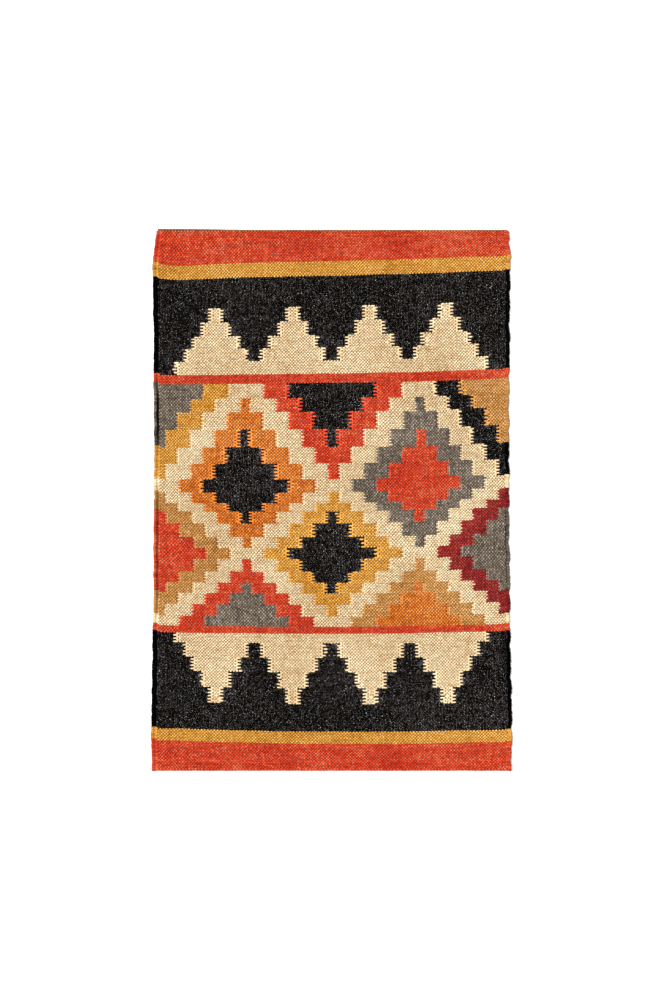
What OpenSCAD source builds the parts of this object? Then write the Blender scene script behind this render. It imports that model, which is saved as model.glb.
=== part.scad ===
// Flat-woven kilim rug, woven side up, lying flat.
// +X runs along the weft (across the rug), +Y along the warp, +Z up.
// The origin is on the floor under the middle of the rug.
//
// Each colour area is its own piece of weft: two faces of yarn with a gap between
// them for the warp threads, closed where the yarn turns back at the area's sides
// and open at its ends, where the warp threads run on into the next area.

/* [Rug] */
// Width of the rug, selvedge to selvedge
rug_w = 604; // [480:1:760]
// Length of the rug, fold to fold
rug_l = 914; // [740:1:1150]
// Thickness of the woven cloth
cloth_t = 4; // [3:0.1:6]

/* [Yarn] */
// Spacing of the warp threads
warp_pitch = 2.65; // [2.2:0.05:3.4]
// Thickness of a warp thread
warp_d = 1.2; // [0.8:0.1:1.4]
// Free space all round a warp thread or an edge cord
yarn_clearance = 0.05; // [0.02:0.01:0.1]
// Thickness of the weft where it turns back round the last warp thread
turn_wall = 0.5; // [0.3:0.05:0.6]
// Length of rug that one row of weft takes
weft_pitch = 2.7; // [2.2:0.05:3.4]

/* [Edges] */
// Width of the selvedge, where the weft wraps the edge cord
selvedge_w = 6; // [5:0.5:10]
// Thickness of the edge cord
edge_cord_d = 2.4; // [1.6:0.1:2.6]
// Thickness of the turned-under heading
hem_t = 2.4; // [2:0.1:4]
// Width of the turned-under heading
hem_w = 14; // [10:0.5:25]
// Length over which the end band rises onto the heading
hem_rise_l = 12; // [8:0.5:25]
// Spacing of the hem stitches
stitch_pitch = 10; // [6:0.5:20]
// Thickness of the sewing thread
stitch_d = 0.8; // [0.5:0.1:1]
// Length of a hem stitch
stitch_l = 4; // [2:0.5:6]

/* [Bands] */
// Length of the plain band at the top end
end_band_top_l = 54; // [40:1:80]
// Length of the plain band at the bottom end
end_band_bottom_l = 48; // [40:1:80]
// Length of the mustard stripe at the top end
mustard_top_l = 24.5; // [10:0.5:35]
// Length of the mustard stripe at the bottom end
mustard_bottom_l = 20.5; // [10:0.5:35]
// Length of each black band that holds a row of peaks
black_band_l = 164.5; // [140:0.5:200]
// Length of the red stripe above the field
red_stripe_top_l = 15.5; // [5:0.5:25]
// Length of the red stripe below the field
red_stripe_bottom_l = 11.5; // [5:0.5:25]

/* [Peaks] */
// Peaks in each row
peak_count = 4; // [2:1:5]
// Black cloth between the rug's side and the foot of the first peak
peak_margin = 38; // [20:1:60]
// Half width of a peak's tip
peak_tip = 10; // [5:0.5:15]
// Width that each course adds to each side of a peak
peak_step = 14.7; // [10:0.1:18]

/* [Diamonds] */
// Distance from the rug's side to the middle of the outermost diamonds
diamond_inset = 12; // [0:1:30]
// Half width of a diamond's tip
diamond_tip = 8.5; // [4:0.5:12]
// Width that each course adds to each side of a diamond
diamond_step = 21.3; // [16:0.1:26]

/* [Hidden] */

// The dyed yarns
RED = "#CC452D";
MUSTARD = "#D69845";
BLACK = "#211E1D";
CREAM = "#DFC296";
GREY = "#77736A";
ORANGE = "#D27734";
TAN = "#BF8A50";
MAROON = "#86231F";
JUTE = "#8C7A62";

// The pattern chart: rows of weft in each course, from the top of the field down,
// and from the foot of a peak to its tip
FIELD_ROWS = [9, 8, 10, 11, 11, 10, 8, 7, 6, 8, 8, 6, 6, 8, 8, 7, 7, 7, 6];
PEAK_ROWS_TOP = [8, 8, 8, 9, 9];
PEAK_ROWS_BOTTOM = [6, 9, 9, 10, 10];
// Courses from the middle of a diamond to its tip, and how far in its centre starts
DIAMOND_COURSES = 5;
CENTRE_COURSES = 3;
// Courses in which the rows of diamonds have their middles
TOP_ROW = 0;
UPPER_ROW = 6;
LOWER_ROW = 12;
BOTTOM_ROW = 18;

function sum_to(list, n) = n == 0 ? 0 : list[n - 1] + sum_to(list, n - 1);

// The warp threads stand evenly between the selvedges, and every side of a colour
// area lies half way between two of them
warp_span = rug_w - 2 * selvedge_w;
warp_count = round(warp_span / warp_pitch);
thread_pitch = warp_span / warp_count;
function warp_x(i) = -warp_span / 2 + (i + 0.5) * thread_pitch;
function between_warps(x) =
    abs(x) >= warp_span / 2
        ? sign(x) * rug_w / 2
        : -warp_span / 2 + round((x + warp_span / 2) / thread_pitch) * thread_pitch;

// Where each band starts, from the top end down
y_top = rug_l / 2;
y_mustard_top = y_top - end_band_top_l;
y_black_top = y_mustard_top - mustard_top_l;
y_red_top = y_black_top - black_band_l;
y_field_top = y_red_top - red_stripe_top_l;
y_bottom = -rug_l / 2;
y_mustard_bottom = y_bottom + end_band_bottom_l;
y_black_bottom = y_mustard_bottom + mustard_bottom_l;
y_red_bottom = y_black_bottom + black_band_l;
y_field_bottom = y_red_bottom + red_stripe_bottom_l;

// The courses share the length of the field
field_rows = sum_to(FIELD_ROWS, len(FIELD_ROWS));
function course_y(n) =
    y_field_top - (y_field_top - y_field_bottom) * sum_to(FIELD_ROWS, n) / field_rows;

// Diamonds stand in five columns, the outermost just inside the rug's sides
diamond_pitch = (rug_w / 2 - diamond_inset) / 2;

// Peaks stand evenly between the margins
peak_half = peak_tip + (len(PEAK_ROWS_TOP) - 1) * peak_step;
peak_first = -rug_w / 2 + peak_margin + peak_half;
peak_pitch = -2 * peak_first / (peak_count - 1);

// The gap for the warp threads, half way through the cloth
warp_gap = warp_d + 2 * yarn_clearance;
cord_gap = edge_cord_d + 2 * yarn_clearance;
cord_x = (rug_w - selvedge_w) / 2;

// ---- Paths along the warp, as points of [y, z] from the middle to one end ----

// The end band rises onto the heading and stops short of the fold
fold_in = hem_t;
y_rise = rug_l / 2 - hem_w - hem_rise_l;
y_over = rug_l / 2 - hem_w;
y_band_end = rug_l / 2 - fold_in;
z_low = cloth_t / 2;
z_high = hem_t + cloth_t / 2;

// A warp thread climbs with the band, turns down at the fold and runs back under it
half_warp_path = [
    [y_rise, z_low],
    [y_over, z_high],
    [rug_l / 2 - hem_t / 2, z_high],
    [rug_l / 2 - hem_t / 2, hem_t / 2],
    [rug_l / 2 - hem_w + turn_wall, hem_t / 2]
];
// An edge cord ends inside the end band
half_cord_path = [
    [y_rise, z_low],
    [y_over, z_high],
    [y_band_end - turn_wall, z_high]
];

function reversed(list) = [for (i = [len(list) - 1:-1:0]) list[i]];
function both_ends(half) = concat(reversed([for (p = half) [-p[0], p[1]]]), half);
function unit(v) = v / norm(v);
function left_of(v) = [-v[1], v[0]];

// Offset of a path's corner that keeps a strip's thickness through the bend
function corner_offset(path, i) =
    let (
        before = i == 0 ? unit(path[1] - path[0]) : unit(path[i] - path[i - 1]),
        after = i == len(path) - 1 ? before : unit(path[i + 1] - path[i]),
        middle = unit(left_of(before) + left_of(after))
    )
    middle / (middle * left_of(after));

// Outline of a strip of even thickness that follows a path
function strip(path, thickness) = concat(
    [for (i = [0:len(path) - 1]) path[i] + corner_offset(path, i) * thickness / 2],
    reversed([for (i = [0:len(path) - 1]) path[i] - corner_offset(path, i) * thickness / 2])
);

// Extrudes an outline of [y, z] points across the rug, from x0 to x1
module across(x0, x1) {
    translate([x0, 0, 0])
        rotate([90, 0, 90])
            linear_extrude(x1 - x0)
                children();
}

// Channels for the two edge cords
module cord_channels() {
    for (side = [-1, 1])
        across(side * cord_x - cord_gap / 2, side * cord_x + cord_gap / 2)
            polygon(strip(both_ends(half_cord_path), cord_gap));
}

// ---- Flat woven areas ----

// Outline of a rectangle between two x and two y
module block(x0, y0, x1, y1) {
    translate([x0, y0])
        square([x1 - x0, y1 - y0]);
}

// A band of the full width between two y
module band(y0, y1) {
    block(-rug_w / 2, y0, rug_w / 2, y1);
}

// The part of an outline that lies clear of its sides: the gap for the warp threads
module clear_of_sides() {
    intersection() {
        translate([turn_wall, 0])
            children();
        translate([-turn_wall, 0])
            children();
        block(-warp_span / 2 + turn_wall, y_bottom, warp_span / 2 - turn_wall, y_top);
    }
}

// Weft woven over an outline, with the gap for the warp threads inside it
module woven() {
    difference() {
        linear_extrude(cloth_t)
            children();
        translate([0, 0, (cloth_t - warp_gap) / 2])
            linear_extrude(warp_gap)
                clear_of_sides()
                    children();
    }
}

// The same for an area that reaches the selvedges and wraps the edge cords
module woven_to_edge() {
    difference() {
        woven()
            children();
        cord_channels();
    }
}

// ---- Pattern outlines ----

// A stepped diamond: its half width grows by one step a course towards its middle.
// course is the one its middle lies in, and reach is how many courses its tip is away.
module diamond_outline(column, course, reach) {
    middle = column * diamond_pitch;
    first = max(course - reach, 0);
    last = min(course + reach, len(FIELD_ROWS) - 1);
    function side_x(way, c) =
        between_warps(middle + way * (diamond_tip + (reach - abs(c - course)) * diamond_step));
    polygon(concat(
        [for (c = [first:last], end = [0, 1]) [side_x(1, c), course_y(c + end)]],
        [for (c = [last:-1:first], end = [1, 0]) [side_x(-1, c), course_y(c + end)]]
    ));
}

module diamond_ring(column, course) {
    difference() {
        diamond_outline(column, course, DIAMOND_COURSES);
        diamond_outline(column, course, CENTRE_COURSES);
    }
}

module diamond_centre(column, course) {
    diamond_outline(column, course, CENTRE_COURSES);
}

// A row of stepped peaks that stand on y_foot and point along way, +1 up or -1 down
module peaks_outline(y_foot, way, rows) {
    function side_x(p, side, c) =
        between_warps(
            peak_first + p * peak_pitch + side * (peak_tip + (len(rows) - 1 - c) * peak_step)
        );
    function row_y(c) = y_foot + way * sum_to(rows, c) * weft_pitch;
    // The foot course runs on from peak to peak
    polygon(concat(
        [[side_x(0, -1, 0), y_foot], [side_x(0, -1, 0), row_y(1)]],
        [for (p = [0:peak_count - 1]) each concat(
            [for (c = [1:len(rows) - 1], end = [0, 1]) [side_x(p, -1, c), row_y(c + end)]],
            [for (c = [len(rows) - 1:-1:1], end = [1, 0]) [side_x(p, 1, c), row_y(c + end)]]
        )],
        [[side_x(peak_count - 1, 1, 0), row_y(1)], [side_x(peak_count - 1, 1, 0), y_foot]]
    ));
}

module peaks_top_outline() {
    peaks_outline(y_red_top, 1, PEAK_ROWS_TOP);
}

module peaks_bottom_outline() {
    peaks_outline(y_red_bottom, -1, PEAK_ROWS_BOTTOM);
}

// ---- Ends ----

// The heading: a thin strip of jute weft that covers the fold and lies under the end
module hem(end) {
    color(JUTE)
        difference() {
            across(-rug_w / 2, rug_w / 2)
                polygon([
                    [end * (rug_l / 2 - hem_w), 0],
                    [end * rug_l / 2, 0],
                    [end * rug_l / 2, hem_t + cloth_t],
                    [end * y_band_end, hem_t + cloth_t],
                    [end * y_band_end, hem_t],
                    [end * (rug_l / 2 - hem_w), hem_t]
                ]);
            across(-warp_span / 2 + turn_wall, warp_span / 2 - turn_wall)
                polygon(strip(both_ends(half_warp_path), warp_gap));
        }
}

module hem_top() {
    hem(1);
}

module hem_bottom() {
    hem(-1);
}

// Whip stitches along the heading's inner edge, in the hollow under the rise
module hem_stitches(end) {
    stitch_count = floor((rug_w - 2 * selvedge_w) / stitch_pitch);
    color(CREAM)
        for (i = [0:stitch_count - 1])
            translate([
                (i - (stitch_count - 1) / 2) * stitch_pitch,
                end * y_over,
                hem_t / 2 - stitch_d / 2
            ])
                rotate([end * 90, 0, 0])
                    cylinder(h = stitch_l, d = stitch_d, $fn = 24);
}

module hem_stitches_top() {
    hem_stitches(1);
}

module hem_stitches_bottom() {
    hem_stitches(-1);
}

// A plain band that lies flat, rises onto the heading and stops at the fold
module end_band(end, y_inner) {
    color(RED)
        difference() {
            across(-rug_w / 2, rug_w / 2)
                polygon([
                    [y_inner, 0],
                    [end * y_rise, 0],
                    [end * y_over, hem_t],
                    [end * y_band_end, hem_t],
                    [end * y_band_end, hem_t + cloth_t],
                    [end * y_over, hem_t + cloth_t],
                    [end * y_rise, cloth_t],
                    [y_inner, cloth_t]
                ]);
            across(-warp_span / 2 + turn_wall, warp_span / 2 - turn_wall)
                polygon(strip(both_ends(half_warp_path), warp_gap));
            cord_channels();
        }
}

module end_band_top() {
    end_band(1, y_mustard_top);
}

module end_band_bottom() {
    end_band(-1, y_mustard_bottom);
}

// ---- Stripes and peaks ----

module mustard_stripe_top() {
    color(MUSTARD) woven_to_edge() band(y_black_top, y_mustard_top);
}

module mustard_stripe_bottom() {
    color(MUSTARD) woven_to_edge() band(y_mustard_bottom, y_black_bottom);
}

module black_ground_top() {
    color(BLACK)
        woven_to_edge()
            difference() {
                band(y_red_top, y_black_top);
                peaks_top_outline();
            }
}

module black_ground_bottom() {
    color(BLACK)
        woven_to_edge()
            difference() {
                band(y_black_bottom, y_red_bottom);
                peaks_bottom_outline();
            }
}

module cream_peaks_top() {
    color(CREAM) woven() peaks_top_outline();
}

module cream_peaks_bottom() {
    color(CREAM) woven() peaks_bottom_outline();
}

module red_stripe_top() {
    color(RED) woven_to_edge() band(y_field_top, y_red_top);
}

module red_stripe_bottom() {
    color(RED) woven_to_edge() band(y_red_bottom, y_field_bottom);
}

// ---- The field ----

// Cream weft fills the field round the diamonds
module cream_lattice() {
    color(CREAM)
        woven_to_edge()
            difference() {
                band(y_field_bottom, y_field_top);
                for (column = [-2, 0, 2], course = [TOP_ROW, LOWER_ROW])
                    diamond_outline(column, course, DIAMOND_COURSES);
                for (column = [-1, 1], course = [UPPER_ROW, BOTTOM_ROW])
                    diamond_outline(column, course, DIAMOND_COURSES);
            }
}

module orange_diamond() {
    color(ORANGE) woven() diamond_ring(-1, UPPER_ROW);
}

module orange_diamond_centre() {
    color(BLACK) woven() diamond_centre(-1, UPPER_ROW);
}

module grey_diamond() {
    color(GREY) woven() diamond_ring(1, UPPER_ROW);
}

module grey_diamond_centre() {
    color(RED) woven() diamond_centre(1, UPPER_ROW);
}

module mustard_diamond() {
    color(MUSTARD) woven() diamond_ring(0, LOWER_ROW);
}

module mustard_diamond_centre() {
    color(BLACK) woven() diamond_centre(0, LOWER_ROW);
}

module red_half_diamond_top() {
    color(RED) woven() diamond_ring(0, TOP_ROW);
}

module red_half_diamond_top_centre() {
    color(BLACK) woven() diamond_centre(0, TOP_ROW);
}

module mustard_corner_diamond() {
    color(MUSTARD) woven_to_edge() diamond_ring(-2, TOP_ROW);
}

module mustard_corner_diamond_centre() {
    color(GREY) woven_to_edge() diamond_centre(-2, TOP_ROW);
}

module black_corner_diamond() {
    color(BLACK) woven_to_edge() diamond_ring(2, TOP_ROW);
}

module black_corner_diamond_centre() {
    color(TAN) woven_to_edge() diamond_centre(2, TOP_ROW);
}

module tan_side_diamond() {
    color(TAN) woven_to_edge() diamond_ring(-2, LOWER_ROW);
}

module tan_side_diamond_centre() {
    color(RED) woven_to_edge() diamond_centre(-2, LOWER_ROW);
}

module maroon_side_diamond() {
    color(MAROON) woven_to_edge() diamond_ring(2, LOWER_ROW);
}

module maroon_side_diamond_centre() {
    color(GREY) woven_to_edge() diamond_centre(2, LOWER_ROW);
}

module red_half_diamond_bottom() {
    color(RED) woven() diamond_ring(-1, BOTTOM_ROW);
}

module red_half_diamond_bottom_centre() {
    color(GREY) woven() diamond_centre(-1, BOTTOM_ROW);
}

module tan_half_diamond_bottom() {
    color(TAN) woven() diamond_ring(1, BOTTOM_ROW);
}

module tan_half_diamond_bottom_centre() {
    color(ORANGE) woven() diamond_centre(1, BOTTOM_ROW);
}

// ---- Inside the cloth ----

// Threads that run from fold to fold and on into the heading at both ends
module warp_threads() {
    color(JUTE)
        for (i = [0:warp_count - 1])
            across(warp_x(i) - warp_d / 2, warp_x(i) + warp_d / 2)
                polygon(strip(both_ends(half_warp_path), warp_d));
}

// A thick cord that stiffens one side edge
module edge_cord(side) {
    color(JUTE)
        across(side * cord_x - edge_cord_d / 2, side * cord_x + edge_cord_d / 2)
            polygon(strip(both_ends(half_cord_path), edge_cord_d));
}

module edge_cord_left() {
    edge_cord(-1);
}

module edge_cord_right() {
    edge_cord(1);
}

hem_top();
hem_bottom();
hem_stitches_top();
hem_stitches_bottom();
end_band_top();
end_band_bottom();
mustard_stripe_top();
mustard_stripe_bottom();
black_ground_top();
black_ground_bottom();
cream_peaks_top();
cream_peaks_bottom();
red_stripe_top();
red_stripe_bottom();
cream_lattice();
orange_diamond();
orange_diamond_centre();
grey_diamond();
grey_diamond_centre();
mustard_diamond();
mustard_diamond_centre();
red_half_diamond_top();
red_half_diamond_top_centre();
mustard_corner_diamond();
mustard_corner_diamond_centre();
black_corner_diamond();
black_corner_diamond_centre();
tan_side_diamond();
tan_side_diamond_centre();
maroon_side_diamond();
maroon_side_diamond_centre();
red_half_diamond_bottom();
red_half_diamond_bottom_centre();
tan_half_diamond_bottom();
tan_half_diamond_bottom_centre();
warp_threads();
edge_cord_left();
edge_cord_right();
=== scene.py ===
"""Flat-woven kilim rug: every row of weft, the warp, the edge cords, the turned-under
headings and their stitches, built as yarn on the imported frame, with its stage."""

import math

import bpy
import numpy as np
from bpy.props import FloatProperty, FloatVectorProperty, IntProperty, PointerProperty
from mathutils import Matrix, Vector
from mathutils.bvhtree import BVHTree


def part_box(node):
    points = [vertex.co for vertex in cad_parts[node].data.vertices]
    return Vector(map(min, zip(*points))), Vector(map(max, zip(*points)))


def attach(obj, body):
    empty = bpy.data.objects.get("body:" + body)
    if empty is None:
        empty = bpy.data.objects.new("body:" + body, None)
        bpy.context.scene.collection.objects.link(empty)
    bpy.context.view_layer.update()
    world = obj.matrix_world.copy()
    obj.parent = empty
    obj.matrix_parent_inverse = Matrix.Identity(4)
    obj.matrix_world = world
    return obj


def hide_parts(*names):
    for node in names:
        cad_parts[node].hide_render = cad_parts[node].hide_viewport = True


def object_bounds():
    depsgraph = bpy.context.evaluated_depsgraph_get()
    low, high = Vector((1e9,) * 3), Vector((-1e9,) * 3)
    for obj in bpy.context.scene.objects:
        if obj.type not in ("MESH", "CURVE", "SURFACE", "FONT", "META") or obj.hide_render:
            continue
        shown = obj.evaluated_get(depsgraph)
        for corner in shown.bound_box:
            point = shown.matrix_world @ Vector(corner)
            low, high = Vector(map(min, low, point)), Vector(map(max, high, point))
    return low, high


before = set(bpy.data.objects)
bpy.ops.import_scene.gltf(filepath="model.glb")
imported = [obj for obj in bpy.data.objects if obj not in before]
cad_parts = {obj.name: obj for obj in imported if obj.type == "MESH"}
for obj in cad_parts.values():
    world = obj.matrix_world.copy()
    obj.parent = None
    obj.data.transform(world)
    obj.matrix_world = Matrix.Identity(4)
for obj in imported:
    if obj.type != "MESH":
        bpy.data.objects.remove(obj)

bl_info = {
    "name": "Woven kilim rug",
    "version": (1, 0, 0),
    "blender": (4, 5, 0),
    "location": "View3D > Sidebar > Rug",
    "description": "Weaves a flat kilim rug yarn by yarn on its packed frame",
    "category": "Object",
}

MM = 0.001
BODY = "root"
SEED = 1914

CAD_LO, CAD_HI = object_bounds()
HALF_W = CAD_HI.x
HALF_L = CAD_HI.y
BOX = {node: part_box(node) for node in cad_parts}

# The plain bands and stripes, from the bottom end up; the field lies between the red stripes
BANDS = [
    "end_band_bottom", "mustard_stripe_bottom", "black_ground_bottom",
    "red_stripe_bottom", "cream_lattice", "red_stripe_top",
    "black_ground_top", "mustard_stripe_top", "end_band_top",
]

# Which dyed wool each colour area is woven in
WOOL_OF = {
    "end_band_top": "red_wool", "end_band_bottom": "red_wool",
    "mustard_stripe_top": "mustard_wool", "mustard_stripe_bottom": "mustard_wool",
    "red_stripe_top": "red_wool", "red_stripe_bottom": "red_wool",
    "black_ground_top": "black_wool", "black_ground_bottom": "black_wool",
    "cream_peaks_top": "cream_wool", "cream_peaks_bottom": "cream_wool",
    "cream_lattice": "cream_wool",
    "orange_diamond": "orange_wool", "orange_diamond_centre": "black_wool",
    "grey_diamond": "grey_wool", "grey_diamond_centre": "red_wool",
    "mustard_diamond": "mustard_wool", "mustard_diamond_centre": "black_wool",
    "red_half_diamond_top": "red_wool", "red_half_diamond_top_centre": "black_wool",
    "mustard_corner_diamond": "mustard_wool", "mustard_corner_diamond_centre": "grey_wool",
    "black_corner_diamond": "black_wool", "black_corner_diamond_centre": "tan_wool",
    "tan_side_diamond": "tan_wool", "tan_side_diamond_centre": "red_wool",
    "maroon_side_diamond": "maroon_wool", "maroon_side_diamond_centre": "grey_wool",
    "red_half_diamond_bottom": "red_wool", "red_half_diamond_bottom_centre": "grey_wool",
    "tan_half_diamond_bottom": "tan_wool", "tan_half_diamond_bottom_centre": "orange_wool",
}

# Each yarn: its colour, the darker and lighter fibres spun into it, the flecks it carries and how many, the
# painted shade in the hollows between its floats as the share of its colour left there (below zero the
# painted shade reaches up the floats, so only their tops keep their colour), and its unevenness float by
# float
YARNS = {
    "red_wool": ("Wool_handspun_red", "#D54226", "#AD2917", "#E5754F", "#8A2E1E", 0.10, 0.66, 0.52),
    "mustard_wool": ("Wool_handspun_mustard", "#D8983C", "#B57424", "#E7B566", "#96641F", 0.10, 0.70, 0.50),
    "black_wool": ("Wool_handspun_black", "#0B0A0A", "#030303", "#564E50", "#D0CED0", 0.15, -0.80, 0.88),
    "cream_wool": ("Wool_undyed_cream", "#DCC198", "#BF9C6D", "#EDDDB9", "#A98A62", 0.12, 0.86, 0.46),
    "grey_wool": ("Wool_handspun_grey", "#807264", "#544B45", "#AB9F90", "#A08A70", 0.22, 0.40, 0.70),
    "orange_wool": ("Wool_handspun_orange", "#E27E2D", "#B75316", "#F4A25A", "#8C4418", 0.12, 0.50, 0.50),
    "tan_wool": ("Wool_handspun_tan", "#CC914E", "#A16A30", "#E6B277", "#7C5226", 0.14, 0.62, 0.40),
    "maroon_wool": ("Wool_handspun_maroon", "#972927", "#681512", "#C1453F", "#4A1412", 0.14, 0.45, 0.50),
    "jute_yarn": ("Jute_spun_natural", "#8A7452", "#665438", "#A8926A", "#54452F", 0.18, 0.10, 0.30),
    "sewing_thread": ("Cotton_thread_undyed", "#DFC296", "#BFA074", "#EBD9B6", "#A98A66", 0.10, 0.60, 0.20),
}


def linear(hex_colour):
    """Turns an sRGB hex colour into linear red, green and blue."""
    parts = [int(hex_colour[i:i + 2], 16) / 255 for i in (1, 3, 5)]
    return tuple(c / 12.92 if c <= 0.04045 else ((c + 0.055) / 1.055) ** 2.4 for c in parts)


def colour_property(slot):
    """The main colour of one yarn, as a setting."""
    name, colour = YARNS[slot][:2]
    return FloatVectorProperty(
        name=slot.replace("_", " ").capitalize(), description=f"Main colour of {name}",
        default=linear(colour), subtype="COLOR", size=3, min=0, max=1,
    )


def length_property(name, description, value_mm):
    """A length, given in millimetres."""
    return FloatProperty(name=name, description=description, default=value_mm * MM,
                         unit="LENGTH", precision=5)


class RugYarnSizes(bpy.types.PropertyGroup):
    """Sizes of the yarns and of the weave."""

    warp_pitch: length_property("Warp pitch", "Spacing of the warp threads", 2.65)
    weft_pitch: length_property("Weft pitch", "Length of rug that one row takes", 2.7)
    field_rows: IntProperty(name="Field rows", description="Rows of weft in the patterned field",
                            default=151, min=20)
    warp_d: length_property("Warp thickness", "Thickness of a warp thread", 0.95)
    selvedge_w: length_property("Selvedge width", "Width of the edge without its own warps", 6)
    weft_depth: length_property("Weft depth", "Thickness of the weft on top of a warp thread", 1.25)
    crimp: length_property("Crimp", "How far the weft rises over and falls under the warp", 1.0)
    float_width: FloatProperty(name="Float width", default=1.46, min=0.5, max=1.95,
                               description="Width of the weft on top of a warp thread, in rows")
    crossing_width: FloatProperty(name="Crossing width", default=0.66, min=0.3, max=1.0,
                                  description="Width of the weft between two warps, in rows")
    cloth_middle: length_property("Cloth middle", "Height of the cloth's middle", 2.2)
    edge_strip: length_property("Edge strip", "Width of the wrapped strip at each side", 5.0)
    edge_cord_d: length_property("Edge cord", "Thickness of the cord in each selvedge", 2.4)
    heading_pitch: length_property("Heading pitch", "Spacing of the heading's jute rows", 1.9)
    stitch_pitch: length_property("Stitch pitch", "Spacing of the hem stitches", 10)
    stitch_d: length_property("Sewing thread", "Thickness of the sewing thread", 0.7)
    strip_w: length_property("Strip width", "Width at which a broken-up area is laid out", 42.6)


class RugHandShape(bpy.types.PropertyGroup):
    """How the hand-made rug departs from a true rectangle, as it lies."""

    lean: length_property("Lean", "How much higher the rows lie at the right than in the middle", 3.1)
    lean_growth: length_property("Lean growth", "Lean added towards the top end", 4.7)
    bow: length_property("Bow", "How much higher the rows lie at both sides", 3.3)
    bow_growth: length_property("Bow growth", "Bow added towards the top end", -1.5)
    slip: length_property("Slip", "How far the rows lie above their even places", -1.2)
    slip_growth: length_property("Slip growth", "Slip added towards the top end", 1.6)
    waist: length_property("Waist", "How far each side draws in at mid length", -2.3)
    flare: length_property("Flare", "How far each side spreads towards the ends", 5.0)
    bottom_spread: length_property("Bottom spread", "How far each side spreads at the bottom", 1.6)
    edge_wave: length_property("Edge wave", "Size of the small waves along the sides", 0.7)
    edge_bumps: length_property("Edge bumps", "Size of the small bumps of the edge cord", 1.2)
    corner_pull: length_property("Corner pull", "How far the corners draw in", 5.0)
    corner_reach: length_property("Corner reach", "Length over which a corner draws in", 56)
    left_edge_lift: length_property("Left edge lift", "How far up the left selvedge creeps", 3.5)
    right_edge_lift: length_property("Right edge lift", "How far up the right selvedge creeps", 1.5)
    left_groove: length_property("Left groove", "Width of the groove inside the left strip", 4.1)
    gape_at: length_property("Gape at", "Where along the rug the left groove gapes open", 147)
    gape_reach: length_property("Gape reach", "Length over which the left groove gapes", 52)
    slit_gape: FloatProperty(name="Slit gape", default=0.62, min=0, max=1,
                             description="How far the groove opens along the slit part")
    slit_at: length_property("Slit at", "Where along the rug the grooves are a slit", -87)
    slit_reach: length_property("Slit reach", "Length over which the left groove is a slit", 108)
    right_groove: length_property("Right groove", "Width of the groove inside the right strip", 1.6)
    ripple: length_property("Edge ripple", "Height of the ripples along the sides", 1.2)


class RugYarnColours(bpy.types.PropertyGroup):
    """Main colours of the yarns."""

    red_wool: colour_property("red_wool")
    mustard_wool: colour_property("mustard_wool")
    black_wool: colour_property("black_wool")
    cream_wool: colour_property("cream_wool")
    grey_wool: colour_property("grey_wool")
    orange_wool: colour_property("orange_wool")
    tan_wool: colour_property("tan_wool")
    maroon_wool: colour_property("maroon_wool")
    jute_yarn: colour_property("jute_yarn")
    sewing_thread: colour_property("sewing_thread")


# ---- How the finished rug lies ----

# Where the weaver beat the rows tighter or looser: where along the rug, over what length, and
# how far the rows there lie above their even places, in mm
SWELLS = [(248, 22, 1.0), (108, 46, -5.0), (10, 34, -2.2), (-40, 34, 3.0), (-105, 24, -3.5),
          (-165, 34, 2.4)]
# Where the pattern swings away from its even places: across and along the rug, and how far it
# moves across and along there, in mm
SWINGS = [(-190, 120, -5.0, 0), (-215, 20, -3.0, 0.5), (150, 125, 6.5, -3.0), (0, 25, 3.0, 0),
          (190, 10, 0, 2.5), (160, -75, 5.0, 0), (-255, -75, 3.5, 0), (130, -290, 2.5, 0),
          (180, 285, -3.0, 0), (-170, 285, -1.0, 0), (-270, 400, 0, -3.0), (-260, -370, 0, 2.0)]
SWING_REACH = (75, 70)
# Small irregularities, as sizes of waves or spreads: rows along the rug, over a long and a short
# reach, warps across it, and the place and the height of a single float
ROW_DRIFT = 0.35 * MM
ROW_TREMOR = 0.3 * MM
WARP_DRIFT = 0.25 * MM
FLOAT_SLIP = 0.22 * MM
FLOAT_RISE = 0.05 * MM
# The cloth off the floor here and there
CLOTH_LIFT = 0.25 * MM
# How much of the full corner pull each corner has
CORNER_SHARE = {"top_left": 1.6, "top_right": 1.0, "bottom": 0.6}


def smooth(t):
    """A soft step from 0 to 1."""
    t = np.clip(t, 0, 1)
    return t * t * (3 - 2 * t)


def waves(t, seed, longest):
    """A smooth, uneven wave of size about 1 along t, from a few sines of falling length."""
    draw = np.random.default_rng(SEED + seed)
    total = np.zeros_like(t)
    for k in range(5):
        length = longest * 0.62 ** k
        total += 0.75 ** k * np.sin(2 * math.pi * (t / length + draw.random()))
    return total / 2.2


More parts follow.
